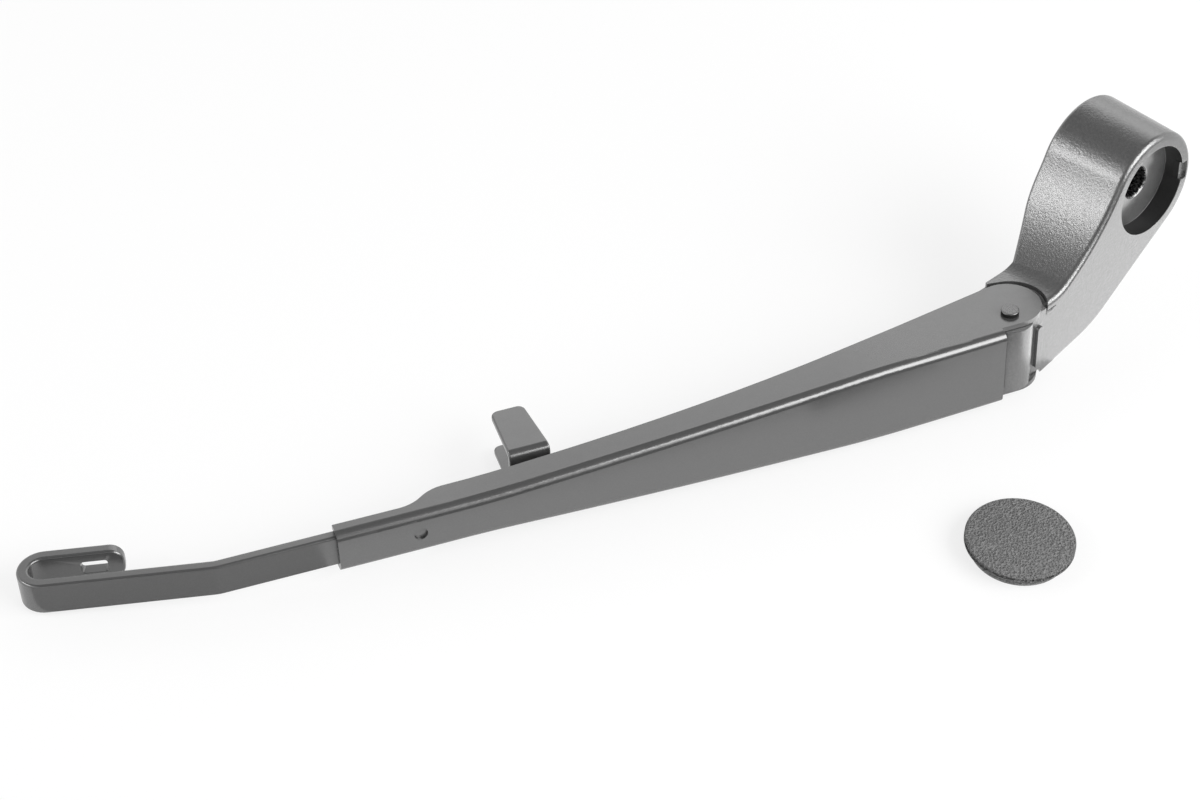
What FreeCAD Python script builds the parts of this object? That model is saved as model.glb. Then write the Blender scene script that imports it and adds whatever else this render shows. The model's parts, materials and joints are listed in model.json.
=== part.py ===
import FreeCAD, Part
import math
import os
from FreeCAD import Vector

# A rear window wiper arm, lying on its side with its cover cap beside it.
#
# Working frame of the pieces: the pivot pin's centre is the origin, X runs along the arm
# towards the mounting head, Y points to the glass and Z is the pivot's axis. The head has
# a frame of its own, turned by HEAD_TURN: u runs along it, v goes into it from its face.
# At the end every piece is laid on the floor as the arm comes to rest.

# Channel, pressed from one sheet
SHEET = 1.4
FOLD_RADIUS = 2.15
MOUTH_FROM_PIVOT = 186.6
WEB_END_FROM_PIVOT = 4.93
WEB_DEPTH_AT_END = 7.95
WEB_DEPTH_AT_MOUTH = 6.80
WEB_BOW = 1.66
NARROW_HALF_WIDTH = 6.15
WIDE_HALF_WIDTH = 11.45
TAPER_START = 147.6
TAPER_END = 42.0
TAPER_CORNER_RADIUS = 350.0
CHEEK_ROUND_RADIUS = 8.7
CHEEK_ROUND_X = 1.6
CHEEK_ROUND_Y = 3.8
FLARE_ANGLE = 10.4
FLARE_END = 28.3
HAUNCH_ANGLE = 5.4
HAUNCH_END = 58.8
WAIST_AT = 118.0
SHOULDER_ANGLE = -1.9
STEP_FROM_MOUTH = 29.3
STEP_LENGTH = 12.0

# Flat bar with the hook
BAR_WIDTH = 9.0
BAR_THICK = 3.0
BAR_EDGE_RADIUS = 0.7
BAR_SEAT_GAP = 0.03
BAR_SET_FROM_MOUTH = 8.6
BAR_SET_RADIUS = 100.0
BAR_BEND_PAST_MOUTH = 29.8
BAR_BEND_ANGLE = 12.4
BAR_BEND_RADIUS = 9.0
HOOK_LENGTH = 47.9
HOOK_GAP = 7.1
RETURN_END = 22.3
RETURN_NOSE_RADIUS = 3.6
SLOT_NEAR = 26.4
SLOT_FAR = 33.0
SLOT_WIDTH = 3.6
SLOT_CORNER_RADIUS = 0.8
BAR_CRANK_FROM_MOUTH = 59.6
BAR_CRANK_LENGTH = 7.0
BAR_CRANK_RISE = 3.0
BAR_TAIL_LENGTH = 9.0
TAIL_CORNER_RADIUS = 3.6
EYE_RADIUS = 2.0
EYE_FROM_END = 4.6

# Rivets and bracket on the bar
RIVET_CLEARANCE = 0.03
BAR_RIVET_FROM_MOUTH = 20.9
BAR_RIVET_RADIUS = 1.75
BAR_RIVET_RECESS = 0.6
RIVET_HEAD_RADIUS = 3.2
RIVET_HEAD_HEIGHT = 1.3
RIVET_DOME_RADIUS = 0.9
BRACKET_FROM_MOUTH = 53.7
BRACKET_SHEET = 1.5
BRACKET_WALL_Y = 4.2
BRACKET_HALF_WIDTH = 6.6
BRACKET_TAB_REACH = 22.3
BRACKET_ROOT_WIDTH = 11.0
BRACKET_TIP_WIDTH = 8.8
BRACKET_TIP_LEAN = -0.4
BRACKET_TIP_RADIUS = 2.0
BRACKET_BEND_RADIUS = 2.1
BRACKET_EDGE_RADIUS = 0.5
POST_RADIUS = 3.0
POST_SHANK_RADIUS = 1.7

# Pivot
PIN_RADIUS = 2.4
PIN_PROUD = 1.85
PIN_EDGE_RADIUS = 0.35
PIN_CLEARANCE = 0.05
BUSH_WALL = 0.9
BUSH_LENGTH = 6.9
BUSH_CLEARANCE = 0.03
CHEEK_CLEARANCE = 0.15
BARREL_RADIUS = 6.4

# Mounting head
HEAD_TURN = 21.54
FACE_DEPTH = 4.2
SPINDLE_U = 51.9
SPINDLE_Z = 26.5
BOSS_FACE_RADIUS = 16.4
BOSS_FLARE = 1.5
BOSS_DEPTH = 24.7
FACE_EDGE_RADIUS = 1.7
RECESS_RADIUS = 12.86
RECESS_DEPTH = 5.55
BORE_RADIUS = 4.2
BORE_CHAMFER = 0.6
NOTCH_WIDTH = 5.4
NOTCH_REACH = 14.7
NOTCH_DEPTH = 2.4
FLANK_LOW_SHOULDER = 12.2
FLANK_LOW_U = 10.5
FLANK_LOW_SLOPE = 0.218
FLANK_LOW_TANGENT_SLOPE = 0.69
FLANK_LOW_RADIUS = 30.0
FLANK_TOP_FACE = 9.4
FLANK_TOP_BASE = 9.6
FLANK_TOP_U = 12.0
FLANK_TOP_SAGITTA = 2.6
FLANK_TOP_TANGENT_ANGLE = 150.0
KNUCKLE_DEPTH = 13.4
BASE_RISE_LENGTH = 14.1
BASE_RISE_TO_BOSS = 4.7
BASE_RISE_RADIUS = 15.0
BASE_FOOT_RADIUS = 4.0
BASE_EDGE_RADIUS = 1.0
SHOULDER_GAP = 0.9
RIB_U = 5.8
RIB_WIDTH = 2.2
RIB_LOW_END = 7.6
RIB_TOP_END = 5.9
RIB_HEIGHT = 1.3
RIB_END_RADIUS = 1.05
ANCHOR_U = 3.5
ANCHOR_DEPTH = 10.3
ANCHOR_RADIUS = 1.6
ANCHOR_CLEARANCE = 0.05
FORK_HALF_GAP = 2.0
CORE_WALL = 3.0
CORE_ROOF = 3.2
HUB_RADIUS = 8.0
CORE_RIB_COUNT = 6
CORE_RIB_THICK = 2.0
NECK_CORE_START = 18.0
KNUCKLE_JOIN_U = 10.0
SHOULDER_END_ANGLE = 88.0
RECESS_TAPER = 0.16

# Spring and its link
LINK_THICK = 2.4
LINK_WIDTH = 2.8
LINK_EYE_RADIUS = 3.3
LINK_BARREL_GAP = 0.5
LINK_HOLE_RADIUS = 1.25
LINK_TIP_WALL = 1.2
LINK_SIDE_GAP = 0.5
LINK_HOLE_AT = 22.0
LIFT_ANGLE = 95.0
WIRE_RADIUS = 0.75
COIL_RADIUS = 4.2
COIL_PITCH = 2.4
LINK_LOOP_RADIUS = 3.2
EYE_LOOP_RADIUS = 3.3
HOOK_LOOP_ANGLE = 300.0
HOOK_STEM = 1.6

# Cover cap
CAP_RADIUS = 13.95
CAP_RIM_HEIGHT = 1.8
CAP_DOME = 0.5
CAP_SKIRT_CLEARANCE = 0.1
CAP_SKIRT_WALL = 1.2
CAP_SKIRT_HEIGHT = 2.85
CAP_EDGE_RADIUS = 0.5
CAP_LEAD = 0.3
CAP_LEAD_HEIGHT = 0.8
CAP_TOP_WALL = 1.4
CAP_X = -24.4
CAP_Y = -56.1

# Places on the arm that go with the channel's mouth
step_near = MOUTH_FROM_PIVOT - STEP_FROM_MOUTH
bar_set_at = MOUTH_FROM_PIVOT - BAR_SET_FROM_MOUTH
bar_bend_at = MOUTH_FROM_PIVOT + BAR_BEND_PAST_MOUTH
bar_crank_start = MOUTH_FROM_PIVOT - BAR_CRANK_FROM_MOUTH
bar_rivet_at = MOUTH_FROM_PIVOT - BAR_RIVET_FROM_MOUTH
bracket_at = MOUTH_FROM_PIVOT - BRACKET_FROM_MOUTH

# The boss is wider at its base than at its face, and the underside has risen before it
boss_base_radius = BOSS_FACE_RADIUS + BOSS_FLARE
base_rise_end = SPINDLE_U - BOSS_FACE_RADIUS - BASE_RISE_TO_BOSS
base_rise_start = base_rise_end - BASE_RISE_LENGTH

# A length that goes past every surface, for tools that cut right through
PAST_ALL = 300.0


def turned(angle, radius=1.0):
    """A point at this angle, in degrees, and radius from the origin."""
    a = math.radians(angle)
    return Vector(radius * math.cos(a), radius * math.sin(a), 0)


def rounded(corners):
    """A closed wire in XY through corners (x, y, radius), each rounded by a tangent arc."""
    points = [Vector(c[0], c[1], 0) for c in corners]
    count = len(points)
    edges = []
    exits = []
    entries = []
    for i in range(count):
        before = (points[i - 1] - points[i]).normalize()
        after = (points[(i + 1) % count] - points[i]).normalize()
        radius = corners[i][2]
        if radius <= 0:
            entries.append(points[i])
            exits.append(points[i])
            continue
        half = before.getAngle(after) / 2
        run = radius / math.tan(half)
        middle = (before + after).normalize()
        deep = radius / math.sin(half) - radius
        start = points[i] + before * run
        end = points[i] + after * run
        edges.append(Part.Arc(start, points[i] + middle * deep, end).toShape())
        entries.append(start)
        exits.append(end)
    for i in range(count):
        j = (i + 1) % count
        if (entries[j] - exits[i]).Length > 1e-6:
            edges.append(Part.LineSegment(exits[i], entries[j]).toShape())
    return Part.Wire(Part.__sortEdges__(edges))


def outline(start, steps):
    """A closed wire from start through steps: (end,) is straight, (through, end) an arc."""
    edges = []
    here = start
    for step in steps:
        end = step[-1]
        if len(step) == 2:
            edges.append(Part.Arc(here, step[0], end).toShape())
        else:
            edges.append(Part.LineSegment(here, end).toShape())
        here = end
    if (here - start).Length > 1e-6:
        edges.append(Part.LineSegment(here, start).toShape())
    return Part.Wire(edges)


def prism(wire, low, high):
    """The wire's face in XY, drawn out along Z from low to high."""
    face = Part.Face(wire)
    face.translate(Vector(0, 0, low))
    return face.extrude(Vector(0, 0, high - low))


def stood_up(shape):
    """Turns a shape drawn in XY so that its Y becomes Z and its Z becomes -Y."""
    copy = shape.copy()
    copy.rotate(Vector(0, 0, 0), Vector(1, 0, 0), 90)
    return copy


def cylinder(radius, start, end):
    """A round bar from start to end."""
    line = end - start
    return Part.makeCylinder(radius, line.Length, start, line)


def round_edges(shape, radius, wanted):
    """Rounds the edges that wanted picks."""
    edges = [edge for edge in shape.Edges if wanted(edge)]
    return shape.makeFillet(radius, edges)


def middle_of(edge):
    """The point half way along an edge."""
    first, last = edge.ParameterRange
    return edge.valueAt((first + last) / 2)


def tangent_arc(start, angle, end_angle, reach):
    """Through point and end of an arc in XY that leaves start at angle, degrees above X."""
    a = math.radians(angle)
    b = math.radians(end_angle)
    c = (a + b) / 2
    radius = reach / (math.sin(b) - math.sin(a))
    through = start + Vector(radius * (math.sin(c) - math.sin(a)),
                             radius * (math.cos(a) - math.cos(c)), 0)
    end = start + Vector(reach, radius * (math.cos(a) - math.cos(b)), 0)
    return through, end


# Web of the channel: its outer face is one long shallow arc
web_mouth = Vector(-MOUTH_FROM_PIVOT, -WEB_DEPTH_AT_MOUTH, 0)
web_end = Vector(-WEB_END_FROM_PIVOT, -WEB_DEPTH_AT_END, 0)
web_chord = web_end - web_mouth
web_middle = (web_mouth + web_end) / 2
web_inward = Vector(-web_chord.y, web_chord.x, 0).normalize()
web_radius = (web_chord.Length / 2) ** 2 / (2 * WEB_BOW) + WEB_BOW / 2
web_centre = web_middle + web_inward * (web_radius - WEB_BOW)


def on_web(x, inward):
    """The point at this x, so far inside the web's outer face."""
    radius = web_radius - inward
    return Vector(x, web_centre.y - math.sqrt(radius ** 2 - (x - web_centre.x) ** 2), 0)


def web_direction(x, inward=0.0):
    """Direction of the web towards its mouth at this x."""
    out = (on_web(x, inward) - web_centre).normalize()
    return Vector(out.y, -out.x, 0)


def channel_side():
    """The channel seen along the pivot: web, round cheek, flare, waist, step and grip."""
    centre = Vector(CHEEK_ROUND_X, CHEEK_ROUND_Y, 0)
    notch = Vector(-WEB_END_FROM_PIVOT, CHEEK_ROUND_Y - CHEEK_ROUND_RADIUS, 0)
    bottom = centre + turned(-90, CHEEK_ROUND_RADIUS)
    flare_top = centre + turned(90 + FLARE_ANGLE, CHEEK_ROUND_RADIUS)
    run = -FLARE_END - flare_top.x
    flare_foot = flare_top + Vector(run, run * math.tan(math.radians(FLARE_ANGLE)), 0)
    haunch = tangent_arc(flare_foot, FLARE_ANGLE, HAUNCH_ANGLE, FLARE_END - HAUNCH_END)
    waist = tangent_arc(haunch[1], HAUNCH_ANGLE, 0, HAUNCH_END - WAIST_AT)
    shoulder = tangent_arc(waist[1], 0, SHOULDER_ANGLE, WAIST_AT - step_near)
    grip = SHEET + BAR_THICK
    step_foot = on_web(-step_near - STEP_LENGTH, grip)
    half_step = (shoulder[1] + step_foot) / 2
    drop = (shoulder[1].y - step_foot.y) / 2
    radius = ((STEP_LENGTH / 2) ** 2 + drop ** 2) / (2 * drop)
    turn = math.degrees(math.asin(STEP_LENGTH / 2 / radius)) / 2
    upper = shoulder[1] + Vector(0, -radius, 0) + turned(90 + turn, radius)
    lower = step_foot + Vector(0, radius, 0) + turned(-90 + turn, radius)
    grip_middle = on_web(-(step_near + STEP_LENGTH + MOUTH_FROM_PIVOT) / 2, grip)
    return outline(web_mouth, [
        (on_web(web_middle.x, 0), web_end),
        (notch,),
        (bottom,),
        (centre + turned(0, CHEEK_ROUND_RADIUS), flare_top),
        (flare_foot,),
        haunch,
        waist,
        shoulder,
        (upper, half_step),
        (lower, step_foot),
        (grip_middle, on_web(-MOUTH_FROM_PIVOT, grip)),
    ])


def channel_plan(inset, beyond):
    """The channel seen on its web, less inset all round, run on past both ends."""
    narrow = NARROW_HALF_WIDTH - inset
    wide = WIDE_HALF_WIDTH - inset
    left = -MOUTH_FROM_PIVOT - beyond
    right = CHEEK_ROUND_X + CHEEK_ROUND_RADIUS + beyond
    bend = TAPER_CORNER_RADIUS
    return rounded([
        (left, -narrow, 0), (-TAPER_START, -narrow, bend), (-TAPER_END, -wide, bend),
        (right, -wide, 0), (right, wide, 0), (-TAPER_END, wide, bend),
        (-TAPER_START, narrow, bend), (left, narrow, 0),
    ])


def along_web(edge, depth):
    """True for an edge that runs along the fold at this depth."""
    point = middle_of(edge)
    if abs(point.z) < 1 or point.x > -WEB_END_FROM_PIVOT:
        return False
    ends = [vertex.Point for vertex in edge.Vertexes]
    if abs(ends[0].x - ends[-1].x) < 2:
        return False
    return abs(point.y - on_web(point.x, depth).y) < 0.1


def make_channel():
    """The pressed channel with its pin holes and the hole that shows the bar's rivet."""
    beyond = 10.0
    high = WIDE_HALF_WIDTH + beyond
    body = prism(channel_side(), -high, high)
    body = body.common(prism_through_y(channel_plan(0, beyond)))
    body = round_edges(body, FOLD_RADIUS, lambda edge: along_web(edge, 0))
    cavity_low = on_web(-MOUTH_FROM_PIVOT - beyond, SHEET)
    cavity_end = on_web(CHEEK_ROUND_X + CHEEK_ROUND_RADIUS + beyond, SHEET)
    lid = Vector(0, PAST_ALL, 0)
    cavity = prism(outline(cavity_low, [
        (on_web(web_middle.x, SHEET), cavity_end),
        (cavity_end + lid,),
        (cavity_low + lid,),
    ]), -high, high)
    cavity = cavity.common(prism_through_y(channel_plan(SHEET, beyond)))
    cavity = round_edges(cavity, FOLD_RADIUS - SHEET, lambda edge: in_cavity_fold(edge))
    body = body.cut(cavity)
    pin_hole = cylinder(PIN_RADIUS, Vector(0, 0, -high), Vector(0, 0, high))
    rivet_hole = across_bar(-bar_rivet_at, BAR_RIVET_RADIUS, -beyond, beyond)
    return body.cut(pin_hole).cut(rivet_hole)


def in_cavity_fold(edge):
    """True for the two inner edges of the folds."""
    point = middle_of(edge)
    ends = [vertex.Point for vertex in edge.Vertexes]
    long_enough = abs(ends[0].x - ends[-1].x) > 2
    return long_enough and abs(point.z) > 1 and abs(point.y - on_web(point.x, SHEET).y) < 0.1


def prism_through_y(wire):
    """A wire drawn as X and Z, made solid right through the arm along Y."""
    return stood_up(prism(wire, -PAST_ALL, PAST_ALL))


def bar_section(point, direction):
    """The bar's section with rounded edges, square to direction at point."""
    half_w = BAR_WIDTH / 2
    half_t = BAR_THICK / 2
    r = BAR_EDGE_RADIUS
    wire = rounded([(-half_t, -half_w, r), (half_t, -half_w, r),
                    (half_t, half_w, r), (-half_t, half_w, r)])
    face = stood_up(Part.Face(wire))
    angle = math.degrees(math.atan2(direction.y, direction.x)) + 90
    face.rotate(Vector(0, 0, 0), Vector(0, 0, 1), angle)
    face.translate(point)
    return face


def bar_straight(point, direction, length):
    """A straight stretch of the bar and the point where it ends."""
    return bar_section(point, direction).extrude(direction * length), point + direction * length


def bar_bend(point, direction, angle, radius):
    """A bent stretch of the bar, its end point and its end direction."""
    side = 1 if angle > 0 else -1
    centre = point + Vector(-direction.y, direction.x, 0) * radius * side
    solid = bar_section(point, direction).revolve(centre, Vector(0, 0, 1), angle)
    turn = FreeCAD.Rotation(Vector(0, 0, 1), angle)
    return solid, centre + turn.multVec(point - centre), turn.multVec(direction)


def bar_middle(x):
    """The middle of the bar's thickness where it lies on the web."""
    return on_web(x, SHEET + BAR_SEAT_GAP + BAR_THICK / 2)


crank_start = bar_middle(-bar_crank_start)
bar_set = bar_middle(-bar_set_at)
bar_run = (bar_set - crank_start).normalize()
bar_inward = Vector(bar_run.y, -bar_run.x, 0)
crank_heading = bar_run * -1
crank_radius = (BAR_CRANK_LENGTH ** 2 + BAR_CRANK_RISE ** 2) / (4 * BAR_CRANK_RISE)
crank_angle = math.degrees(math.asin(BAR_CRANK_LENGTH / 2 / crank_radius))


def under_bar(x):
    """The point on the bar's underside at this x of its long run."""
    middle = crank_start + bar_run * ((x - crank_start.x) / bar_run.x)
    return middle - bar_inward * (BAR_THICK / 2)


def across_bar(x, radius, low, high):
    """A cylinder square to the bar at this x, from low to high above the bar's underside."""
    base = under_bar(x)
    return cylinder(radius, base + bar_inward * low, base + bar_inward * high)


def make_bar():
    """The flat bar: cranked tail with the spring's eye, long run, bend and slotted hook."""
    pieces = []
    solid, point, heading = bar_bend(crank_start, crank_heading, crank_angle, crank_radius)
    pieces.append(solid)
    solid, point, heading = bar_bend(point, heading, -crank_angle, crank_radius)
    pieces.append(solid)
    solid, tail_end = bar_end(point, heading, BAR_TAIL_LENGTH, TAIL_CORNER_RADIUS)
    pieces.append(solid)
    eye = tail_end - heading * EYE_FROM_END
    tail_normal = Vector(-heading.y, heading.x, 0)

    leaving = web_direction(-bar_set_at)
    set_angle = math.degrees(bar_run.getAngle(leaving))
    set_run = BAR_SET_RADIUS * math.tan(math.radians(set_angle) / 2)
    solid, point = bar_straight(crank_start, bar_run, (bar_set - crank_start).Length - set_run)
    pieces.append(solid)
    solid, point, heading = bar_bend(point, bar_run, -set_angle, BAR_SET_RADIUS)
    pieces.append(solid)
    bend_run = BAR_BEND_RADIUS * math.tan(math.radians(BAR_BEND_ANGLE) / 2)
    past_set = (bar_bend_at - bar_set_at) / abs(heading.x)
    solid, point = bar_straight(point, heading, past_set - set_run - bend_run)
    pieces.append(solid)
    solid, point, heading = bar_bend(point, heading, -BAR_BEND_ANGLE, BAR_BEND_RADIUS)
    pieces.append(solid)
    corner = point - heading * bend_run
    hook_radius = (HOOK_GAP + BAR_THICK) / 2
    leg = HOOK_LENGTH - hook_radius - BAR_THICK / 2 - bend_run
    solid, point = bar_straight(point, heading, leg)
    pieces.append(solid)
    solid, point, back = bar_bend(point, heading, -180, hook_radius)
    pieces.append(solid)
    return_length = HOOK_LENGTH - hook_radius - BAR_THICK / 2 - RETURN_END
    solid, nose = bar_end(point, back, return_length, RETURN_NOSE_RADIUS)
    pieces.append(solid)
    bar = pieces[0].multiFuse(pieces[1:]).removeSplitter()

    bar = bar.cut(slot_tool(corner, heading, hook_radius))
    bar = bar.cut(cylinder(EYE_RADIUS, eye - tail_normal * BAR_WIDTH, eye + tail_normal * BAR_WIDTH))
    for x, radius in ((-bar_rivet_at, BAR_RIVET_RADIUS), (-bracket_at, POST_SHANK_RADIUS)):
        bar = bar.cut(across_bar(x, radius + RIVET_CLEARANCE, -BAR_THICK, 2 * BAR_THICK))
    return bar, eye, heading


def laid_flat(shape, point, direction):
    """Moves a shape drawn about the origin with X along the bar and Y across it."""
    copy = stood_up(shape)
    angle = math.degrees(math.atan2(direction.y, direction.x))
    copy.rotate(Vector(0, 0, 0), Vector(0, 0, 1), angle)
    copy.translate(point)
    return copy


def bar_end(point, direction, length, radius):
    """The bar's last straight stretch, whose corners are rounded by radius."""
    half_w = BAR_WIDTH / 2
    half_t = BAR_THICK / 2
    solid = Part.makeBox(length, BAR_WIDTH, BAR_THICK, Vector(0, -half_w, -half_t))
    solid = round_edges(solid, radius, lambda edge: is_upright_at(edge, length))
    solid = round_edges(solid, BAR_EDGE_RADIUS, lambda edge: on_flat_rim(edge, half_t))
    return laid_flat(solid, point, direction), point + direction * length


def is_upright_at(edge, x):
    """True for an edge at this x that runs through the bar's thickness."""
    point = middle_of(edge)
    return abs(point.x - x) < 1e-6 and abs(point.z) < 1e-6


def on_flat_rim(edge, half_t):
    """True for the rim of the bar's two broad faces, apart from where the bar goes on."""
    point = middle_of(edge)
    return abs(abs(point.z) - half_t) < 1e-6 and point.x > 1e-6


def slot_tool(corner, heading, hook_radius):
    """The slot through the hook's return leg."""
    half = SLOT_WIDTH / 2
    r = SLOT_CORNER_RADIUS
    wire = rounded([(SLOT_NEAR, -half, r), (SLOT_FAR, -half, r),
                    (SLOT_FAR, half, r), (SLOT_NEAR, half, r)])
    tool = prism(wire, -BAR_THICK, BAR_THICK)
    across = Vector(heading.y, -heading.x, 0)
    return laid_flat(tool, corner + across * 2 * hook_radius, heading)


def make_bar_rivet():
    """The rivet through web and bar, its shank a little below the web's outer face."""
    shank = across_bar(-bar_rivet_at, BAR_RIVET_RADIUS - RIVET_CLEARANCE,
                       BAR_RIVET_RECESS - SHEET, BAR_THICK)
    return shank.fuse(rivet_head(-bar_rivet_at, BAR_THICK)).removeSplitter()


def rivet_head(x, low):
    """A domed rivet head over the bar at this x, from low above the bar's underside."""
    head = across_bar(x, RIVET_HEAD_RADIUS, low, low + RIVET_HEAD_HEIGHT)
    return head.makeFillet(RIVET_DOME_RADIUS, [far_rim(head, RIVET_HEAD_RADIUS)])


def far_rim(shape, radius):
    """The round edge of this radius that lies furthest along +Y."""
    rims = [e for e in shape.Edges if e.Curve.TypeId == "Part::GeomCircle"
            and abs(e.Curve.Radius - radius) < 1e-6]
    return max(rims, key=lambda e: e.CenterOfMass.y)


post_base = under_bar(-bracket_at)
post_top = (BRACKET_WALL_Y - post_base.y) / bar_inward.y


def make_post():
    """The shouldered rivet that stands on the bar and carries the bracket."""
    head_foot = post_top + BRACKET_SHEET
    shoulder = across_bar(-bracket_at, POST_RADIUS, BAR_THICK, post_top)
    shank = across_bar(-bracket_at, POST_SHANK_RADIUS, 0, head_foot)
    head = rivet_head(-bracket_at, head_foot)
    return shoulder.fuse(shank).fuse(head).removeSplitter()


def on_bracket_rim(edge, reach):
    """True for the edges round the bracket's outer skin, which the punch has rounded."""
    point = middle_of(edge)
    r = BRACKET_BEND_RADIUS
    from_bend_axis = math.hypot(min(point.x - r, 0), max(abs(point.y) - BRACKET_HALF_WIDTH + r, 0))
    runs_across = abs(point.z) < r and point.x < reach / 2
    return abs(from_bend_axis - r) < 1e-6 and not runs_across


def make_bracket():
    """The U bracket: a wall on the post and two tabs that narrow to rounded ends."""
    w = BRACKET_HALF_WIDTH
    reach = BRACKET_TAB_REACH - BRACKET_WALL_Y
    r = BRACKET_BEND_RADIUS
    outer = rounded([(0, -w, r), (0, w, r), (reach, w, 0), (reach, -w, 0)])
    inner_r = r - BRACKET_SHEET
    s = BRACKET_SHEET
    open_end = reach + BRACKET_SHEET
    inner = rounded([(s, -w + s, inner_r), (s, w - s, inner_r),
                     (open_end, w - s, 0), (open_end, -w + s, 0)])
    half = BRACKET_ROOT_WIDTH / 2
    body = prism(outer, -half, half).cut(prism(inner, -half, half))
    tip_low = BRACKET_TIP_LEAN - BRACKET_TIP_WIDTH / 2
    tip_high = BRACKET_TIP_LEAN + BRACKET_TIP_WIDTH / 2
    side = rounded([(0, -half, 0), (reach, tip_low, BRACKET_TIP_RADIUS),
                    (reach, tip_high, BRACKET_TIP_RADIUS), (0, half, 0)])
    body = body.common(stood_up(prism(side, -w, w)))
    body = round_edges(body, BRACKET_EDGE_RADIUS, lambda edge: on_bracket_rim(edge, reach))
    body.rotate(Vector(0, 0, 0), Vector(1, 1, 1), 120)
    angle = math.degrees(math.atan2(bar_inward.y, bar_inward.x)) - 90
    body.rotate(Vector(0, 0, 0), Vector(0, 0, 1), angle)
    body.translate(post_base + bar_inward * post_top)
    hole = across_bar(-bracket_at, POST_SHANK_RADIUS + RIVET_CLEARANCE,
                      post_top - BRACKET_SHEET, post_top + 2 * BRACKET_SHEET)
    return body.cut(hole)


def make_pin():
    """The pivot pin."""
    half = WIDE_HALF_WIDTH + PIN_PROUD
    pin = cylinder(PIN_RADIUS, Vector(0, 0, -half), Vector(0, 0, half))
    rims = [e for e in pin.Edges if e.Curve.TypeId == "Part::GeomCircle"]
    return pin.makeFillet(PIN_EDGE_RADIUS, rims)


knuckle_half = WIDE_HALF_WIDTH - SHEET - CHEEK_CLEARANCE
bush_inner = PIN_RADIUS + PIN_CLEARANCE
bush_outer = bush_inner + BUSH_WALL


def make_bush(side):
    """One of the two bushes in the knuckle, on this side of the middle."""
    inner_end = Vector(0, 0, side * (knuckle_half - BUSH_LENGTH))
    outer_end = Vector(0, 0, side * knuckle_half)
    sleeve = cylinder(bush_outer, inner_end, outer_end)
    return sleeve.cut(cylinder(bush_inner, inner_end, outer_end))


def tangent_on_boss(corner, radius, side):
    """Where the line from corner touches the boss circle, on its lower or upper side."""
    centre = Vector(SPINDLE_U, SPINDLE_Z, 0)
    line = centre - corner
    spread = math.degrees(math.asin(radius / line.Length))
    heading = math.degrees(math.atan2(line.y, line.x)) - side * spread
    return corner + turned(heading, math.sqrt(line.Length ** 2 - radius ** 2))


def head_plan(boss_radius, top_shoulder):
    """The head seen on its face: straight lower flank, boss and hollow upper flank."""
    start = Vector(-FACE_DEPTH * 3, -FLANK_LOW_SHOULDER, 0)
    low = Vector(FLANK_LOW_U, -FLANK_LOW_SHOULDER, 0)
    centre = Vector(SPINDLE_U, SPINDLE_Z, 0)
    slope = math.atan(FLANK_LOW_TANGENT_SLOPE)
    foot = centre + turned(math.degrees(slope) - 90, BOSS_FACE_RADIUS)
    knee_u = (foot.y - foot.x * FLANK_LOW_TANGENT_SLOPE + FLANK_LOW_SHOULDER
              + FLANK_LOW_U * FLANK_LOW_SLOPE) / (FLANK_LOW_SLOPE - FLANK_LOW_TANGENT_SLOPE)
    knee = Vector(knee_u, low.y + (knee_u - low.x) * FLANK_LOW_SLOPE, 0)
    touch = tangent_on_boss(knee, boss_radius, 1)
    before = (low - knee).normalize()
    after = (touch - knee).normalize()
    half = before.getAngle(after) / 2
    run = FLANK_LOW_RADIUS / math.tan(half)
    deep = FLANK_LOW_RADIUS / math.sin(half) - FLANK_LOW_RADIUS
    knee_in = knee + before * run
    knee_out = knee + after * run
    knee_mid = knee + (before + after).normalize() * deep
    top_touch = centre + turned(FLANK_TOP_TANGENT_ANGLE, boss_radius)
    far = centre + turned(60, boss_radius)
    top_start = Vector(FLANK_TOP_U, top_shoulder, 0)
    chord = top_touch - top_start
    sag = Vector(chord.y, -chord.x, 0).normalize() * FLANK_TOP_SAGITTA
    top_mid = (top_start + top_touch) / 2 + sag
    corner = Vector(start.x, top_shoulder, 0)
    return outline(start, [
        (low,), (knee_in,), (knee_mid, knee_out), (touch,), (far, top_touch),
        (top_mid, top_start), (corner,),
    ])


def head_side():
    """The head seen along the pivot, without its knuckle: face, base and rising underside."""
    u_far = SPINDLE_U + 2 * boss_base_radius
    base = BOSS_DEPTH - FACE_DEPTH
    left = -3 * FACE_DEPTH
    return rounded([
        (left, -FACE_DEPTH, 0), (u_far, -FACE_DEPTH, 0), (u_far, base, 0),
        (base_rise_end, base, BASE_RISE_RADIUS),
        (base_rise_start, KNUCKLE_DEPTH, BASE_FOOT_RADIUS), (left, KNUCKLE_DEPTH, 0),
    ])


def plan_prism(wire, v_low, v_high):
    """A wire drawn as u and z, made solid between two depths below the pivot's plane."""
    return stood_up(prism(wire, -v_high, -v_low))


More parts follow.
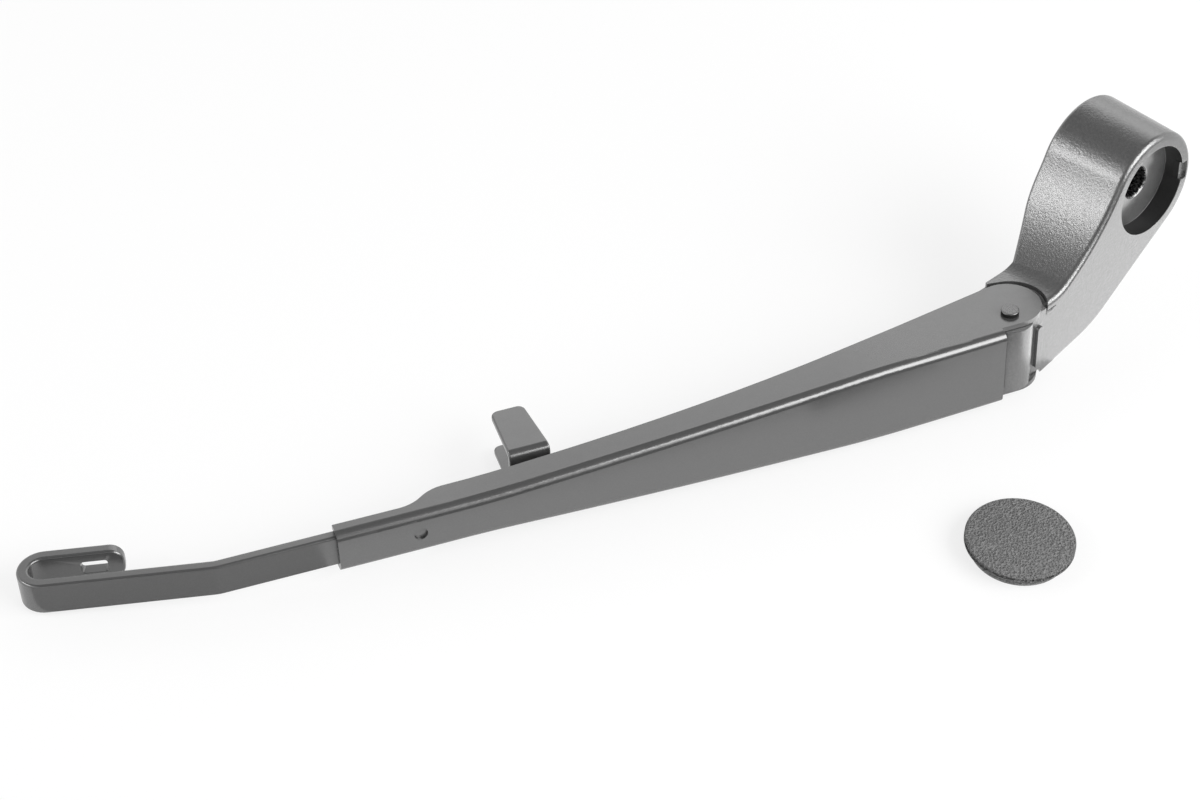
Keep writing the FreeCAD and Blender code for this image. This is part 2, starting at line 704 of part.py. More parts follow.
def shoulder_tool():
    """What is taken out of the head's shoulders for the cheeks over their whole travel."""
    radius = CHEEK_ROUND_RADIUS + SHOULDER_GAP
    reach = 4 * CHEEK_ROUND_RADIUS
    centre = Vector(CHEEK_ROUND_X, CHEEK_ROUND_Y, 0)
    room = cylinder(radius, centre - Vector(0, 0, reach), centre + Vector(0, 0, reach))
    angle = math.degrees(math.atan2(centre.y, centre.x))
    swept = centre.Length + radius
    wedge = outline(Vector(0, 0, 0), [
        (turned(angle, swept),),
        (turned((angle + SHOULDER_END_ANGLE) / 2, swept), turned(SHOULDER_END_ANGLE, swept)),
        (turned(SHOULDER_END_ANGLE, reach),), (turned(150, 2 * reach),), (turned(210, 2 * reach),),
        (turned(-90 - FLARE_ANGLE, reach),), (centre + turned(-90, radius),),
        (centre + turned(-60, radius),),
    ])
    room = room.fuse(prism(wedge, -reach, reach))
    room.rotate(Vector(0, 0, 0), Vector(0, 0, 1), -HEAD_TURN)
    middle = Part.makeBox(5 * reach, 5 * reach, 2 * knuckle_half,
                          Vector(-2.5 * reach, -2.5 * reach, -knuckle_half))
    return room.cut(middle)


def head_knuckle():
    """The barrel round the pin with the fork that holds the anchor pin."""
    high = knuckle_half
    barrel = cylinder(BARREL_RADIUS, Vector(0, 0, -high), Vector(0, 0, high))
    ear = Vector(ANCHOR_U, ANCHOR_DEPTH, 0)
    ear_radius = KNUCKLE_DEPTH - ANCHOR_DEPTH
    ears = cylinder(ear_radius, ear - Vector(0, 0, high), ear + Vector(0, 0, high))
    lean = math.degrees(math.asin((BARREL_RADIUS - ear_radius) / ear.Length))
    side = math.degrees(math.atan2(ear.y, ear.x)) + 90 - lean
    web = outline(Vector(0, 0, 0), [
        (turned(side, BARREL_RADIUS),),
        (ear + turned(side, ear_radius),),
        (ear,),
        (ear + turned(90, ear_radius),),
        (Vector(KNUCKLE_JOIN_U, KNUCKLE_DEPTH, 0),),
        (Vector(KNUCKLE_JOIN_U, -FACE_DEPTH, 0),),
        (Vector(math.sqrt(BARREL_RADIUS ** 2 - FACE_DEPTH ** 2), -FACE_DEPTH, 0),),
    ])
    return barrel.fuse(ears).fuse(prism(web, -high, high))


def fork_slot():
    """The slot that the spring's link swings in."""
    left = 3 * BARREL_RADIUS
    right = ANCHOR_U + LINK_EYE_RADIUS + LINK_SIDE_GAP
    half = Vector(0, 0, FORK_HALF_GAP)
    slot = Part.makeBox(left + right, 3 * KNUCKLE_DEPTH, 2 * FORK_HALF_GAP,
                        Vector(-left, 0, -FORK_HALF_GAP))
    return slot.cut(cylinder(BARREL_RADIUS, half * -1, half))


def spindle_cylinder(radius, v_low, v_high):
    """A round bar on the spindle's axis between two depths."""
    return cylinder(radius, Vector(SPINDLE_U, v_low, SPINDLE_Z), Vector(SPINDLE_U, v_high, SPINDLE_Z))


recess_floor = RECESS_DEPTH - FACE_DEPTH
head_base = BOSS_DEPTH - FACE_DEPTH


def boss_tools():
    """Recess, knurled bore's hole, its chamfer and the notch for a lever."""
    mouth = Vector(SPINDLE_U, -FACE_DEPTH, SPINDLE_Z)
    inward = Vector(0, 1, 0)
    recess = Part.makeCone(RECESS_RADIUS, RECESS_RADIUS - RECESS_TAPER, RECESS_DEPTH, mouth, inward)
    bore = spindle_cylinder(BORE_RADIUS, -FACE_DEPTH, head_base + 1)
    chamfer = Part.makeCone(BORE_RADIUS + BORE_CHAMFER, BORE_RADIUS, BORE_CHAMFER,
                            Vector(SPINDLE_U, recess_floor, SPINDLE_Z), inward)
    notch = Part.makeBox(NOTCH_REACH, NOTCH_DEPTH, NOTCH_WIDTH,
                         Vector(SPINDLE_U, -FACE_DEPTH, SPINDLE_Z - NOTCH_WIDTH / 2))
    return recess.fuse(bore).fuse(chamfer).fuse(notch)


def boss_cores():
    """The pockets cast into the boss from its base, between hub, ribs and outer wall."""
    roof = recess_floor + CORE_ROOF
    outer = BOSS_FACE_RADIUS - CORE_WALL
    hub = spindle_cylinder(HUB_RADIUS, roof, head_base + 1)
    ring = spindle_cylinder(outer, roof, head_base + 1).cut(hub)
    for i in range(CORE_RIB_COUNT):
        rib = Part.makeBox(2 * outer, 2 * BOSS_DEPTH, CORE_RIB_THICK,
                           Vector(0, 0, -CORE_RIB_THICK / 2))
        rib.rotate(Vector(0, 0, 0), Vector(0, 1, 0), 360 / CORE_RIB_COUNT * i)
        rib.translate(Vector(SPINDLE_U, 0, SPINDLE_Z))
        ring = ring.cut(rib)
    return ring


def neck_core():
    """The pocket cast into the neck from its base."""
    wire = head_plan(BOSS_FACE_RADIUS, FLANK_TOP_FACE).makeOffset2D(-CORE_WALL)
    pocket = plan_prism(wire, CORE_ROOF - FACE_DEPTH, head_base + 1)
    near = Part.makeBox(PAST_ALL, PAST_ALL, PAST_ALL,
                        Vector(NECK_CORE_START - PAST_ALL, -PAST_ALL / 2, -PAST_ALL / 2))
    return pocket.cut(near).cut(spindle_cylinder(BOSS_FACE_RADIUS, -FACE_DEPTH - 1, head_base + 2))


def on_face_rim(edge):
    """True for the edges round the head's face, apart from its cut left end."""
    point = middle_of(edge)
    return abs(point.y + FACE_DEPTH) < 1e-4 and point.x > -2 * FACE_DEPTH


def on_base_rim(edge):
    """True for the edges round the head's underside, flat and rising, but none across it."""
    point = middle_of(edge)
    ends = [vertex.Point for vertex in edge.Vertexes]
    runs_across = abs(ends[0].x - ends[-1].x) < 1e-3
    underside = point.y > KNUCKLE_DEPTH - 1e-3
    return underside and point.x > -2 * FACE_DEPTH and not runs_across


def make_head():
    """The die cast mounting head, in its own frame of u, v and z."""
    face_wire = stood_up(head_plan(BOSS_FACE_RADIUS, FLANK_TOP_FACE))
    face_wire.translate(Vector(0, -FACE_DEPTH, 0))
    base_wire = stood_up(head_plan(boss_base_radius, FLANK_TOP_BASE))
    base_wire.translate(Vector(0, head_base, 0))
    body = Part.makeLoft([face_wire, base_wire], True, True)
    high = SPINDLE_Z + 2 * boss_base_radius
    body = body.common(prism(head_side(), -high, high))
    body = round_edges(body, FACE_EDGE_RADIUS, on_face_rim)
    body = round_edges(body, BASE_EDGE_RADIUS, on_base_rim)
    body = body.cut(shoulder_tool())
    middle = Part.makeBox(KNUCKLE_JOIN_U + PAST_ALL / 2, PAST_ALL, 2 * knuckle_half,
                          Vector(-PAST_ALL / 2, -PAST_ALL / 2, -knuckle_half))
    body = body.cut(middle).fuse(head_knuckle())
    rib_far = RIB_U + RIB_WIDTH
    r = RIB_END_RADIUS
    rib = rounded([(RIB_U, -RIB_LOW_END, r), (rib_far, -RIB_LOW_END, r),
                   (rib_far, RIB_TOP_END, r), (RIB_U, RIB_TOP_END, r)])
    body = body.fuse(plan_prism(rib, -FACE_DEPTH - RIB_HEIGHT, -FACE_DEPTH + 1))
    body = body.cut(boss_tools()).cut(boss_cores()).cut(neck_core()).cut(fork_slot())
    through = Vector(0, 0, 2 * knuckle_half)
    body = body.cut(cylinder(bush_outer + BUSH_CLEARANCE, through * -1, through))
    anchor = Vector(ANCHOR_U, ANCHOR_DEPTH, 0)
    half = Vector(0, 0, knuckle_half)
    body = body.cut(cylinder(ANCHOR_RADIUS + RIVET_CLEARANCE, anchor - half, anchor + half))
    return body.removeSplitter()


def make_anchor():
    """The pin across the fork that the spring's link turns on, in the head's frame."""
    centre = Vector(ANCHOR_U, ANCHOR_DEPTH, 0)
    half = Vector(0, 0, knuckle_half - CHEEK_CLEARANCE)
    return cylinder(ANCHOR_RADIUS, centre - half, centre + half)


def head_frame(shape):
    """Carries a shape from the head's frame to the pivot's."""
    copy = shape.copy()
    copy.rotate(Vector(0, 0, 0), Vector(0, 0, 1), HEAD_TURN)
    return copy


def about_pivot(point, angle):
    """A point turned about the pivot by an angle in degrees."""
    return FreeCAD.Rotation(Vector(0, 0, 1), angle).multVec(point)


def pull_angle(anchor, eye, lift):
    """Direction of the spring's pull from anchor to eye, in degrees, when the arm is lifted."""
    line = about_pivot(eye, lift) - anchor
    angle = math.degrees(math.atan2(line.y, line.x))
    return angle % 360


class Pull:
    """The line of the spring's pull, with the link's shape along it."""

    def __init__(self, eye):
        self.anchor = about_pivot(Vector(ANCHOR_U, ANCHOR_DEPTH, 0), HEAD_TURN)
        self.length = (eye - self.anchor).Length
        self.angle = pull_angle(self.anchor, eye, 0)
        self.lifted_angle = pull_angle(self.anchor, eye, LIFT_ANGLE)
        self.barrel = about_pivot(self.anchor * -1, -self.lifted_angle)

    def placed(self, shape):
        """Carries a shape from the pull line's frame to the pivot's."""
        copy = shape.copy()
        copy.rotate(Vector(0, 0, 0), Vector(0, 0, 1), self.angle)
        copy.translate(self.anchor)
        return copy


def make_link(pull):
    """The link: an eye on the anchor pin, a bow that clears the barrel, a hole for the spring."""
    half = LINK_WIDTH / 2
    radius = BARREL_RADIUS + LINK_BARREL_GAP + half
    centre = pull.barrel
    hole = Vector(LINK_HOLE_AT, 0, 0)
    to_anchor = centre * -1
    to_hole = hole - centre
    first = math.degrees(math.atan2(to_anchor.y, to_anchor.x) + math.acos(radius / to_anchor.Length))
    last = math.degrees(math.atan2(to_hole.y, to_hole.x) - math.acos(radius / to_hole.Length)) + 360
    middle = (first + last) / 2
    outer = radius + half
    inner = radius - half
    wire = outline(turned(first, half) * -1, [
        (centre + turned(first, inner),),
        (centre + turned(middle, inner), centre + turned(last, inner)),
        (hole - turned(last, half),),
        (hole + turned(last, half),),
        (centre + turned(last, outer),),
        (centre + turned(middle, outer), centre + turned(first, outer)),
        (turned(first, half),),
    ])
    half_thick = Vector(0, 0, LINK_THICK / 2)
    link = prism(wire, -LINK_THICK / 2, LINK_THICK / 2)
    link = link.fuse(cylinder(LINK_EYE_RADIUS, half_thick * -1, half_thick))
    link = link.fuse(cylinder(LINK_HOLE_RADIUS + LINK_TIP_WALL, hole - half_thick, hole + half_thick))
    link = link.cut(cylinder(ANCHOR_RADIUS + ANCHOR_CLEARANCE, half_thick * -1, half_thick))
    link = link.cut(cylinder(LINK_HOLE_RADIUS, hole - half_thick, hole + half_thick))
    return pull.placed(link.removeSplitter())


def wire_loop(start, loop_radius, axis, toward):
    """A hook of round wire: a stem at start and most of a loop, bent about axis."""
    centre = start + Vector(toward * loop_radius, 0, 0)
    face = Part.Face(Part.Wire([Part.makeCircle(WIRE_RADIUS, start, axis.cross(Vector(1, 0, 0)))]))
    loop = face.revolve(centre, axis, HOOK_LOOP_ANGLE)
    stem = cylinder(WIRE_RADIUS, start, start - Vector(toward * HOOK_STEM, 0, 0))
    joint = Part.makeSphere(WIRE_RADIUS, start)
    return loop.fuse(stem).fuse(joint)


def make_spring(pull):
    """The tension spring: open turns between a loop in the link and a loop in the bar's eye."""
    link_loop_end = LINK_HOLE_AT + 2 * LINK_LOOP_RADIUS
    eye_loop_start = pull.length - 2 * EYE_LOOP_RADIUS
    coil_start = link_loop_end + HOOK_STEM - WIRE_RADIUS
    coil_end = eye_loop_start - HOOK_STEM + WIRE_RADIUS
    turns = round((coil_end - coil_start) / COIL_PITCH)
    pitch = (coil_end - coil_start) / turns
    valley = COIL_RADIUS - 2 * WIRE_RADIUS
    points = [Vector(coil_start, 0, 0), Vector(coil_start, valley, 0)]
    for i in range(turns):
        points.append(Vector(coil_start + pitch * (i + 0.5), COIL_RADIUS, 0))
        points.append(Vector(coil_start + pitch * (i + 1), valley, 0))
    points.append(Vector(coil_end, 0, 0))
    points.append(points[0])
    coil = Part.Face(Part.makePolygon(points)).revolve(Vector(0, 0, 0), Vector(1, 0, 0), 360)
    near = wire_loop(Vector(link_loop_end, 0, 0), LINK_LOOP_RADIUS, Vector(0, 1, 0), -1)
    far = wire_loop(Vector(eye_loop_start, 0, 0), EYE_LOOP_RADIUS, Vector(0, 0, 1), 1)
    return pull.placed(coil.fuse(near).fuse(far))


def make_cap():
    """The cover cap with its top up and its skirt's end at height zero, on the Z axis."""
    top = CAP_SKIRT_HEIGHT + CAP_RIM_HEIGHT
    centre = Vector(0, top + CAP_DOME, 0)
    shoulder = Vector(CAP_RADIUS - CAP_EDGE_RADIUS, top, 0)
    rim = Vector(CAP_RADIUS, top - CAP_EDGE_RADIUS, 0)
    lean = CAP_EDGE_RADIUS * (1 - math.sqrt(0.5))
    dome_mid = Vector(shoulder.x / 2, top + CAP_DOME * 0.75, 0)
    under = CAP_SKIRT_HEIGHT
    skirt = RECESS_RADIUS - RECESS_TAPER - CAP_SKIRT_CLEARANCE
    inner = skirt - CAP_SKIRT_WALL
    profile = outline(centre, [
        (dome_mid, shoulder),
        (Vector(CAP_RADIUS - lean, top - lean, 0), rim),
        (Vector(CAP_RADIUS, under, 0),),
        (Vector(skirt, under, 0),),
        (Vector(skirt, CAP_LEAD_HEIGHT, 0),),
        (Vector(skirt - CAP_LEAD, 0, 0),),
        (Vector(inner, 0, 0),),
        (Vector(inner, top - CAP_TOP_WALL, 0),),
        (Vector(0, top - CAP_TOP_WALL, 0),),
    ])
    return stood_up(Part.Face(profile)).revolve(Vector(0, 0, 0), Vector(0, 0, 1), 360)


def touches(normal, hook_edge):
    """The three places where the arm rests: pin end, head's corner and the hook's edge."""
    across = Vector(normal.x, normal.y, 0).normalize()
    pin = Vector(0, 0, -WIDE_HALF_WIDTH - PIN_PROUD) + across * -(PIN_RADIUS - PIN_EDGE_RADIUS)
    corner = about_pivot(Vector(FLANK_LOW_U, KNUCKLE_DEPTH, 0), HEAD_TURN)
    corner.z = -FLANK_LOW_SHOULDER
    return pin, corner, hook_edge


def floor_normal(hook_edge):
    """The floor's upward direction in the pivot's frame, as the arm comes to rest."""
    normal = Vector(0.01, -0.05, 1).normalize()
    for _ in range(4):
        pin, corner, hook = touches(normal, hook_edge)
        normal = (corner - pin).cross(hook - pin).normalize()
        if normal.z < 0:
            normal = normal * -1
    return normal


def lay_down(hook_edge):
    """The turn that lays the arm on the floor: Z up, X along the arm."""
    normal = floor_normal(hook_edge)
    along = (Vector(1, 0, 0) - normal * normal.x).normalize()
    across = normal.cross(along)
    return FreeCAD.Rotation(along, across, normal, "ZXY").inverted()


def lowest_hook_edge(bar):
    """The lower outer edge of the hook's return leg."""
    lower = -BAR_WIDTH / 2 + 1.5 * BAR_EDGE_RADIUS
    points = [vertex.Point for vertex in bar.Vertexes if vertex.Point.z < lower]
    furthest = max(points, key=lambda p: p.y - 0.1 * p.z)
    return Vector(furthest.x, furthest.y, -BAR_WIDTH / 2)


def build_pieces():
    """Every piece in the pivot's frame, with the cap flat on the floor beside the arm."""
    bar, eye, _ = make_bar()
    pull = Pull(eye)
    turn = lay_down(lowest_hook_edge(bar))
    pieces = {
        "arm_channel": make_channel(),
        "hook_bar": bar,
        "bar_rivet": make_bar_rivet(),
        "bracket_post": make_post(),
        "guide_bracket": make_bracket(),
        "pivot_pin": make_pin(),
        "bush_upper": make_bush(1),
        "bush_lower": make_bush(-1),
        "mounting_head": head_frame(make_head()),
        "anchor_pin": head_frame(make_anchor()),
        "spring_link": make_link(pull),
        "tension_spring": make_spring(pull),
    }
    laid = FreeCAD.Placement(Vector(0, 0, 0), turn)
    for shape in pieces.values():
        shape.Placement = laid.multiply(shape.Placement)
    floor = min(shape.optimalBoundingBox(True).ZMin for shape in pieces.values())
    cap = make_cap()
    cap_place = turn.multVec(Vector(CAP_X, CAP_Y, 0))
    cap.translate(Vector(cap_place.x, cap_place.y, floor))
    pieces["cover_cap"] = cap
    return pieces, pull, laid


def common_box(shapes):
    """The box round all the shapes."""
    boxes = [shape.optimalBoundingBox(True) for shape in shapes]
    low = Vector(min(b.XMin for b in boxes), min(b.YMin for b in boxes), min(b.ZMin for b in boxes))
    high = Vector(max(b.XMax for b in boxes), max(b.YMax for b in boxes), max(b.ZMax for b in boxes))
    return low, high


def placed_pieces():
    """Every piece in the part's own frame, the line of pull and the placement used."""
    pieces, pull, laid = build_pieces()
    low, high = common_box(pieces.values())
    shift = Vector(-(low.x + high.x) / 2, -(low.y + high.y) / 2, -low.z)
    moved = FreeCAD.Placement(shift, FreeCAD.Rotation())
    for shape in pieces.values():
        shape.Placement = moved.multiply(shape.Placement)
    return pieces, pull, moved.multiply(laid)


def main():
    os.makedirs("parts", exist_ok=True)
    pieces, pull, placement = placed_pieces()
    for name, shape in pieces.items():
        shape.exportStep("parts/" + name + ".step")
        box = shape.BoundBox
        size = "%.1f x %.1f x %.1f" % (box.XLength, box.YLength, box.ZLength)
        print(name, shape.isValid(), len(shape.Solids), round(shape.Volume, 1), size)
    print("link turns", round(pull.lifted_angle - pull.angle, 2), "for", LIFT_ANGLE)


if __name__ == "__main__":
    main()
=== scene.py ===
# %% [markdown]
# # A rear window wiper arm with its cover cap beside it
#
# The construction comes from a CAD frame: thirteen solids with their hinges. This lesson
# dresses that frame. Each step says what a piece or a finish is on the real object, how it
# could be made in Blender, and why one way was chosen.

# %% Load the frame and list its nodes
import json
import math

import bpy
from mathutils import Matrix, Vector


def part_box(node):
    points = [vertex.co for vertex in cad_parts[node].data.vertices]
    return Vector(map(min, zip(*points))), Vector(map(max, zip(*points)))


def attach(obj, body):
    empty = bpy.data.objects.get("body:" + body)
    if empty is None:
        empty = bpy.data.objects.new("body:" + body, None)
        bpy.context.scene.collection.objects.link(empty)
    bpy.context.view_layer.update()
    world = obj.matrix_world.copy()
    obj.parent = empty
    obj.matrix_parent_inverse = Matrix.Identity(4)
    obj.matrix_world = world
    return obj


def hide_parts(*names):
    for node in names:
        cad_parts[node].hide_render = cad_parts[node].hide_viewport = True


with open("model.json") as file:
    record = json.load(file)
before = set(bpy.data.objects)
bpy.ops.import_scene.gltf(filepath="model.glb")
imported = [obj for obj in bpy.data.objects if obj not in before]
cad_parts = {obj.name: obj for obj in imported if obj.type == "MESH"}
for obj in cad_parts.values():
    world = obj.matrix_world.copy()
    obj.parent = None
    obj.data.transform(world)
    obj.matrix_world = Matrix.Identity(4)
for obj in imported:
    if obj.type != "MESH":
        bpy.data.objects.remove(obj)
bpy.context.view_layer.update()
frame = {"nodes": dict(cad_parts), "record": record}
nodes = frame["nodes"]
print("nodes:", sorted(nodes))

# %% [markdown]
# ## Where things are
#
# The frame lies on the floor, so the pivot's own directions are turned a little. All the
# arm's shapes are easiest to describe from the pivot pin: X along the arm towards the head,
# Y towards the glass, Z along the pin. Two hinges of the frame are enough to find these
# directions again, and a helper then turns millimetres at the pivot into places on the floor.

# %% The pivot's own directions
MM = 0.001
HEAD_TURN = 21.54
ANCHOR_U = 3.5
ANCHOR_DEPTH = 10.3

joints = {joint["name"]: joint for joint in frame["record"]["behaviour"]["joints"]}
pivot_centre = Vector(joints["arm_hinge"]["pos_m"])
pin_direction = Vector(joints["arm_hinge"]["axis"]).normalized()
anchor_centre = Vector(joints["link_hinge"]["pos_m"])
anchor_angle = math.radians(HEAD_TURN) + math.atan2(ANCHOR_DEPTH, ANCHOR_U)
to_anchor = anchor_centre - pivot_centre
to_anchor = (to_anchor - pin_direction * to_anchor.dot(pin_direction)).normalized()
along_arm = Matrix.Rotation(-anchor_angle, 3, pin_direction) @ to_anchor
to_glass = pin_direction.cross(along_arm)
pivot_turn = Matrix((along_arm, to_glass, pin_direction)).transposed()
pivot_frame = Matrix.Translation(pivot_centre) @ pivot_turn.to_4x4()


def at_pivot(x, y, z):
    """The place of a point given in millimetres from the pivot."""
    return pivot_frame @ Vector((x * MM, y * MM, z * MM))


print("the pivot stands", round(pivot_centre.z * 1000, 2), "mm above the floor")

# %% [markdown]
# ## Materials as sums
#
# A procedural material is a graph of nodes. Long graphs are hard to read, so a small class
# wraps a socket: adding or multiplying two wrapped sockets adds the Math node that does it.
# Every other node comes from one method that takes its type, its settings and its inputs.


# %% A socket that can be added and multiplied
class Amount:
    """A number that varies over a surface. Its sums and products add Math nodes."""

    def __init__(self, graph, socket):
        self.graph = graph
        self.socket = socket

    def math(self, operation, first, second):
        return self.graph.node("ShaderNodeMath", {"operation": operation}, {0: first, 1: second})

    def __add__(self, other):
        return self.math("ADD", self, other)

    __radd__ = __add__

    def __mul__(self, other):
        return self.math("MULTIPLY", self, other)

    __rmul__ = __mul__


def grey(level):
    """A neutral colour."""
    return (level, level, level, 1.0)


# %% A graph that is built up node by node
class Graph:
    """The nodes of one material or of the room."""

    def __init__(self, tree):
        self.tree = tree

    def node(self, kind, settings, inputs, output=0):
        """Adds a node, sets it, fills its sockets and returns the wrapped output."""
        made = self.tree.nodes.new(kind)
        for name, value in settings.items():
            if name == "stops":
                self.fill_ramp(made.color_ramp, value)
            else:
                setattr(made, name, value)
        for key, value in inputs.items():
            socket = made.inputs[key]
            if isinstance(value, Amount):
                self.tree.links.new(value.socket, socket)
            else:
                socket.default_value = value
        return Amount(self, made.outputs[output])

    def fill_ramp(self, ramp, stops):
        """Sets a ramp's stops, given as pairs of position and grey level."""
        while len(ramp.elements) < len(stops):
            ramp.elements.new(0.5)
        for element, (position, level) in zip(ramp.elements, stops):
            element.position = position
            element.color = grey(level)

    def mix(self, factor, first, second):
        """A colour between two colours."""
        return self.node("ShaderNodeMix", {"data_type": "RGBA"}, {
            "Factor": factor, 6: first, 7: second,
        }, output=2)

    def ramp(self, factor, stops):
        """A grey that follows a ramp's stops."""
        return self.node("ShaderNodeValToRGB", {"stops": stops}, {0: factor})


class Finish(Graph):
    """A material with a Principled shader and the nodes that feed it."""

    def __init__(self, name, **constants):
        self.material = bpy.data.materials.new(name)
        self.material.use_nodes = True
        super().__init__(self.material.node_tree)
        self.shader = self.tree.nodes["Principled BSDF"]
        for socket, value in constants.items():
            self.shader.inputs[socket.replace("_", " ")].default_value = value
        self.place = self.node("ShaderNodeTexCoord", {}, {}, output="Object")

    def noise(self, size, detail=2.0, roughness=0.5):
        """Soft noise from 0 to 1 whose lumps are about this many millimetres across."""
        return self.node("ShaderNodeTexNoise", {}, {
            "Vector": self.place, "Scale": 1 / (size * MM),
            "Detail": detail, "Roughness": roughness,
        })

    def bump(self, height, depth):
        """Feeds the shader's normal from a height of this many millimetres."""
        bumped = self.node("ShaderNodeBump", {}, {"Height": height, "Distance": depth * MM})
        self.feed("Normal", bumped)

    def feed(self, socket, value):
        """Lets a wrapped output drive one of the shader's sockets."""
        self.tree.links.new(value.socket, self.shader.inputs[socket])


# %% [markdown]
# ## Black enamel on the casting
#
# The head is die cast and coated with black enamel. The coat is thin, so light glances off
# it almost as off metal, and the fine skin of the casting still shows as a soft glitter.
# Two noises do this: a fine one for the skin, and a broad one that lets the gloss drift.

# %% Enamel on the casting
cast_enamel = Finish("black_enamel_on_casting", Metallic=0.7)
skin = cast_enamel.noise(0.62, detail=3.0, roughness=0.7)
drift = cast_enamel.noise(9.0)
cast_enamel.feed("Base Color", cast_enamel.mix(skin, grey(0.14), grey(0.26)))
cast_enamel.feed("Roughness", 0.12 + skin * 0.10 + drift * 0.04)
cast_enamel.bump(skin, 0.085)

# %% [markdown]
# ## Black enamel on sheet and bar
#
# The channel, the bar and the bracket are rolled steel, so their enamel lies much smoother.
# Up close it has a faint orange peel, waves two or three millimetres across.

# %% Enamel on sheet steel
sheet_enamel = Finish("black_enamel_on_sheet", Metallic=0.7)
peel = sheet_enamel.noise(2.4, detail=1.0)
dust = sheet_enamel.noise(0.4, detail=2.0)
sheet_enamel.feed("Base Color", sheet_enamel.mix(dust, grey(0.15), grey(0.19)))
sheet_enamel.feed("Roughness", 0.19 + peel * 0.05 + dust * 0.05)
sheet_enamel.bump(peel * 0.8 + dust * 0.2, 0.010)

# %% [markdown]
# ## Steel, bronze and plastic
#
# The pivot pin is turned steel under the same enamel. The spring and its link are zinc
# plated. The bushes are plain bronze. The cap is moulded in black plastic with a leather
# grain, whose cells are a cell pattern softened by noise.

# %% Turned, plated and moulded finishes
pin_steel = Finish("dark_turned_steel", Metallic=0.7)
turning = pin_steel.noise(0.3, detail=2.0)
pin_steel.feed("Base Color", pin_steel.mix(turning, grey(0.15), grey(0.2)))
pin_steel.feed("Roughness", 0.22 + turning * 0.12)
pin_steel.bump(turning, 0.006)

spring_steel = Finish("zinc_plated_steel", Metallic=1.0)
cloud = spring_steel.noise(1.5, detail=3.0)
spring_steel.feed("Base Color", spring_steel.mix(cloud, grey(0.36), grey(0.5)))
spring_steel.feed("Roughness", 0.24 + cloud * 0.18)
spring_steel.bump(cloud, 0.01)

bronze = Finish("sintered_bronze", Metallic=1.0)
pores = bronze.noise(0.35, detail=3.0)
bronze.feed("Base Color", bronze.mix(pores, (0.42, 0.25, 0.1, 1), (0.6, 0.38, 0.17, 1)))
bronze.feed("Roughness", 0.38 + pores * 0.2)
bronze.bump(pores, 0.02)

cap_plastic = Finish("black_grained_plastic")
cells = cap_plastic.node("ShaderNodeTexVoronoi", {"feature": "SMOOTH_F1"}, {
    "Vector": cap_plastic.place, "Scale": 1 / (0.6 * MM), "Smoothness": 0.5,
})
fine = cap_plastic.noise(0.3, detail=2.0)
leather = cells * 0.7 + fine * 0.4
cap_plastic.feed("Base Color", cap_plastic.mix(leather, grey(0.045), grey(0.24)))
cap_plastic.feed("Roughness", 0.30 + fine * 0.2)
cap_plastic.bump(leather, 1.0)

# %% Each node gets its finish
finish_of = {
    "mounting_head": cast_enamel, "arm_channel": sheet_enamel, "hook_bar": sheet_enamel,
    "bar_rivet": sheet_enamel, "bracket_post": sheet_enamel, "guide_bracket": sheet_enamel,
    "pivot_pin": pin_steel, "anchor_pin": pin_steel, "bush_upper": bronze, "bush_lower": bronze,
    "spring_link": spring_steel, "tension_spring": spring_steel, "cover_cap": cap_plastic,
}
for name, finish in finish_of.items():
    node = nodes[name]
    node.data.materials.clear()
    node.data.materials.append(finish.material)
print("finishes:", len(finish_of))

# %% [markdown]
# ## Finer copies of the pieces
#
# A real edge is never razor sharp, and the thin light lines along the sheet's edges in the
# photograph come from its small rounding. CAD nodes keep their mesh, so a piece is copied, its
# points are merged, and a Bevel modifier rounds every sharp edge of the copy. The copy then
# stands for its node and rides on the same body. The channel isn't copied: its long curved
# fold came out of the bevel with faults, and the node's own mesh has a smooth fold already.


# %% Copy, merge, round
SHARP_FROM = 32
SMOOTH_UNDER = 26
MERGE_CLOSER = 0.002
BEVEL_STEPS = 2
LARGE_FACE_WEIGHT = 80


def to_active(piece):
    """Makes this piece the only selected one and the active one."""
    bpy.ops.object.select_all(action="DESELECT")
    piece.select_set(True)
    bpy.context.view_layer.objects.active = piece


def copy_of(name):
    """A copy of a node with merged points."""
    piece = bpy.data.objects.new(name + "_fine", nodes[name].data.copy())
    bpy.context.scene.collection.objects.link(piece)
    to_active(piece)
    bpy.ops.mesh.customdata_custom_splitnormals_clear()
    bpy.ops.object.mode_set(mode="EDIT")
    bpy.ops.mesh.select_all(action="SELECT")
    bpy.ops.mesh.remove_doubles(threshold=MERGE_CLOSER * MM)
    bpy.ops.mesh.normals_make_consistent(inside=False)
    bpy.ops.object.mode_set(mode="OBJECT")
    return piece


def smooth(piece):
    """Shades a piece smooth, apart from its sharp edges."""
    to_active(piece)
    bpy.ops.object.shade_smooth_by_angle(angle=math.radians(SMOOTH_UNDER))


def soften(piece, width):
    """Rounds the sharp edges of a piece by this many millimetres and smooths the rest."""
    to_active(piece)
    rounding = piece.modifiers.new("rounding", "BEVEL")
    rounding.width = width * MM
    rounding.segments = BEVEL_STEPS
    rounding.limit_method = "ANGLE"
    rounding.offset_type = "WIDTH"
    rounding.angle_limit = math.radians(SHARP_FROM)
    rounding.use_clamp_overlap = False
    bpy.ops.object.modifier_apply(modifier=rounding.name)
    smooth(piece)
    even = piece.modifiers.new("even", "WEIGHTED_NORMAL")
    even.weight = LARGE_FACE_WEIGHT
    even.keep_sharp = True
    bpy.ops.object.modifier_apply(modifier=even.name)


def take_place(piece, name, body):
    """The copy stands for its node and rides on its body."""
    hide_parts(name)
    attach(piece, body)
    print(piece.name, "faces", len(piece.data.polygons))


